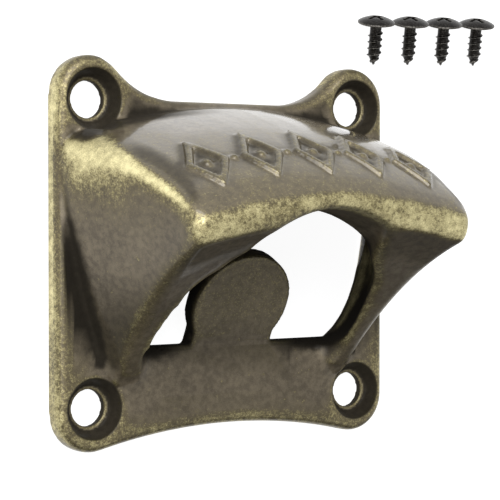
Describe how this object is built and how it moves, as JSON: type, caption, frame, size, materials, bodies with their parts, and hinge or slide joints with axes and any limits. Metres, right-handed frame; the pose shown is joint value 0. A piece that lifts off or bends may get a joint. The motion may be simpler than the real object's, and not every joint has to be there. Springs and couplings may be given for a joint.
{
  "type": "wall-mounted bottle opener",
  "caption": "Hollow cast bottle opener that screws to a wall: a hooded mouth, a leaning tongue that holds the cap, a plate with recessed screw holes, and loose screws.",
  "frame": {"origin": "centre of the four screw holes, on the wall face of the plate", "axes": "+X to the right as seen from the front, +Y up when the opener hangs on a wall, +Z away from the wall; the opener lies on its back, so +Z is up"},
  "size_m": [0.0936, 0.0766, 0.0356],
  "materials": {
    "antique_brass": "satin antique patina, worn to bright brass on ridges and edges",
    "dark_steel": "satin dark bronze"
  },
  "bodies": {
    "opener": {"casting": "antique_brass"},
    "screw_1": {"screw_1": "dark_steel"},
    "screw_2": {"screw_2": "dark_steel"},
    "screw_3": {"screw_3": "dark_steel"},
    "screw_4": {"screw_4": "dark_steel"}
  },
  "joints": [
    {"name": "screw_1_lift", "type": "slide", "parent": "opener", "child": "screw_1", "axis": [0, 0, 1], "range_m": [0, 0.05]},
    {"name": "screw_2_lift", "type": "slide", "parent": "opener", "child": "screw_2", "axis": [0, 0, 1], "range_m": [0, 0.05]},
    {"name": "screw_3_lift", "type": "slide", "parent": "opener", "child": "screw_3", "axis": [0, 0, 1], "range_m": [0, 0.05]},
    {"name": "screw_4_lift", "type": "slide", "parent": "opener", "child": "screw_4", "axis": [0, 0, 1], "range_m": [0, 0.05]}
  ]
}
